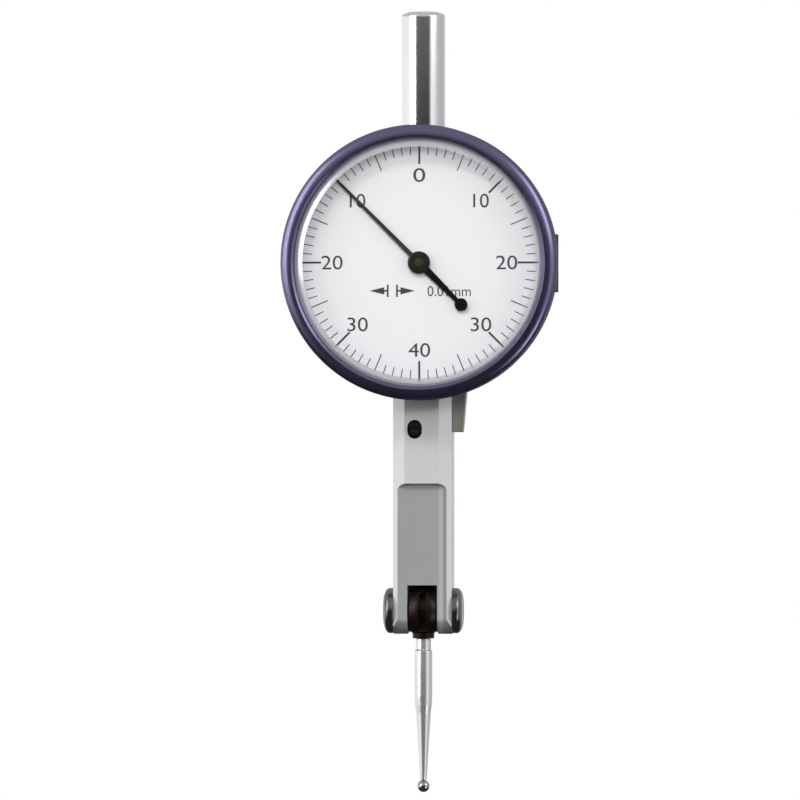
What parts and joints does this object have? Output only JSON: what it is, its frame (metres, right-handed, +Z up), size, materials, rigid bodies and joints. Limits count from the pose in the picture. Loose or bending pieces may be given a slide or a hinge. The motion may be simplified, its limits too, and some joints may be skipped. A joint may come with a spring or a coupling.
{
  "type": "lever-type dial test indicator",
  "caption": "Lever-type dial test indicator with a blue bezel, a round clamping stem above the dial, a long satin arm below it and a swivelling ball-ended stylus.",
  "frame": {"origin": "on the stem's axis, 8 mm below the stem's upper end, the middle of the length that a clamp grips", "axes": "+Z up along the stem's axis, -Y out of the dial towards the reader, +X to the reader's right, towards the side dovetail"},
  "size_m": [0.0376, 0.0181, 0.1067],
  "materials": {
    "anodised_blue": "anodised, satin with a fine knurl on the rim",
    "satin_chrome": "satin chrome plate",
    "polished_chrome": "polished chrome plate",
    "hardened_steel": "blackened, fine ground",
    "bright_steel": "bright turned steel",
    "carbide": "polished sintered carbide",
    "black_steel": "gloss black oxide",
    "brass": "lacquered brass",
    "ruby": "polished synthetic ruby",
    "dial_white": "matt off-white enamel",
    "pointer_paint": "satin olive-black enamel",
    "crystal_clear": "clear polished"
  },
  "bodies": {
    "case": {"housing": "satin_chrome", "back_cover": "satin_chrome", "arm_cover": "satin_chrome", "stem": "polished_chrome", "side_dovetail": "hardened_steel", "back_dovetail": "hardened_steel", "left_pivot_cap": "polished_chrome", "right_pivot_cap": "polished_chrome", "span_screw": "black_steel", "bezel_snap_ring": "bright_steel", "left_plate": "brass", "right_plate": "brass", "upper_pillar": "bright_steel", "lower_pillar": "bright_steel", "frame_screw_1": "bright_steel", "frame_screw_2": "bright_steel", "pointer_cock": "brass", "cock_screw": "bright_steel", "front_jewel": "ruby", "rear_jewel": "ruby", "hairspring": "bright_steel", "hairspring_stud": "brass", "back_cover_screw_1": "bright_steel", "back_cover_screw_2": "bright_steel", "back_cover_screw_3": "bright_steel", "back_cover_screw_4": "bright_steel", "arm_cover_screw_1": "bright_steel", "side_dovetail_screw_1": "bright_steel", "back_dovetail_screw_1": "bright_steel", "arm_cover_screw_2": "bright_steel", "side_dovetail_screw_2": "bright_steel", "back_dovetail_screw_2": "bright_steel"},
    "bezel_group": {"bezel": "anodised_blue", "crystal": "crystal_clear", "dial_spacer": "anodised_blue", "dial_face": "dial_white", "dial_retainer": "brass"},
    "pointer_group": {"pointer": "pointer_paint", "pointer_boss": "pointer_paint", "centre_arbor": "bright_steel"},
    "crown_group": {"crown_wheel": "brass", "crown_arbor": "bright_steel", "hairspring_collet": "brass"},
    "sector_group": {"sector_lever": "brass", "sector_arbor": "bright_steel"},
    "lever_group": {"measuring_lever": "bright_steel", "drive_pin": "bright_steel", "pivot_shaft": "bright_steel"},
    "stylus_group": {"stylus_hub": "black_steel", "left_hub_washer": "black_steel", "right_hub_washer": "black_steel", "stylus": "bright_steel", "contact_ball": "carbide"},
    "changeover_group": {"changeover_lever": "hardened_steel", "changeover_spindle": "bright_steel", "changeover_screw": "bright_steel"}
  },
  "joints": [
    {"name": "bezel_turn", "type": "hinge", "parent": "case", "child": "bezel_group", "pos_m": [0, 0, -0.0264], "axis": [0, 1, 0], "continuous": true},
    {"name": "pointer_turn", "type": "hinge", "parent": "case", "child": "pointer_group", "pos_m": [0, 0, -0.0264], "axis": [0, 1, 0], "range_deg": [0, 360], "stiffness_Nm_per_rad": 0.000004, "springref_deg": -721.93},
    {"name": "crown_turn", "type": "hinge", "parent": "case", "child": "crown_group", "pos_m": [0, -0.002, -0.0264], "axis": [1, 0, 0], "range_deg": [0, 60.03]},
    {"name": "sector_swing", "type": "hinge", "parent": "case", "child": "sector_group", "pos_m": [0, 0, -0.03076], "axis": [1, 0, 0], "range_deg": [-12.01, 0]},
    {"name": "lever_swing", "type": "hinge", "parent": "case", "child": "lever_group", "pos_m": [0, 0, -0.0739], "axis": [1, 0, 0], "range_deg": [0, 1.91]},
    {"name": "stylus_set", "type": "hinge", "parent": "lever_group", "child": "stylus_group", "pos_m": [0, 0, -0.0739], "axis": [1, 0, 0], "range_deg": [-105, 105]},
    {"name": "changeover_turn", "type": "hinge", "parent": "case", "child": "changeover_group", "pos_m": [0, 0.0005, -0.0428], "axis": [1, 0, 0], "range_deg": [0, 30]}
  ],
  "couplings": [
    {"joint": "crown_turn", "follows": "pointer_turn", "ratio": 0.16667},
    {"joint": "sector_swing", "follows": "pointer_turn", "ratio": -0.033333},
    {"joint": "lever_swing", "follows": "pointer_turn", "ratio": 0.0053052}
  ]
}
